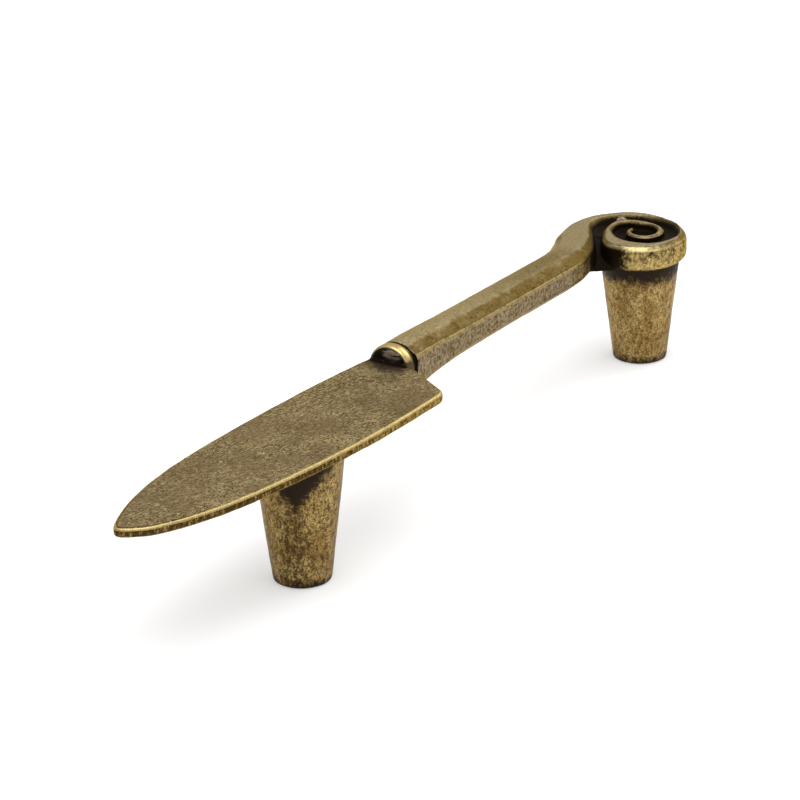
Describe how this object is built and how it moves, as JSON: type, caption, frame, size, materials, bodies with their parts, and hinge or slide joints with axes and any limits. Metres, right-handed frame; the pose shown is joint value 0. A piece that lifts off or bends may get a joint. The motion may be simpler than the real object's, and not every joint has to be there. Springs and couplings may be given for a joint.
{
  "type": "cabinet handle",
  "caption": "Cabinet pull handle shaped like a kitchen knife, with a blade, a bolster and a grip that winds into a scroll, on tapered posts.",
  "frame": {"origin": "middle of the handle's outline, on the plane of the two feet, which is the drawer front's surface", "axes": "+X along the knife from the blade's tip to the scroll, +Y towards the side of the blade's spine, +Z away from the drawer front"},
  "size_m": [0.141, 0.02, 0.0236],
  "materials": {
    "antique_brass": "antique brass: dull olive gold, dark brown in the hollows, rubbed bright along the edges"
  },
  "bodies": {
    "root": {"knife_handle": "antique_brass"}
  },
  "joints": []
}
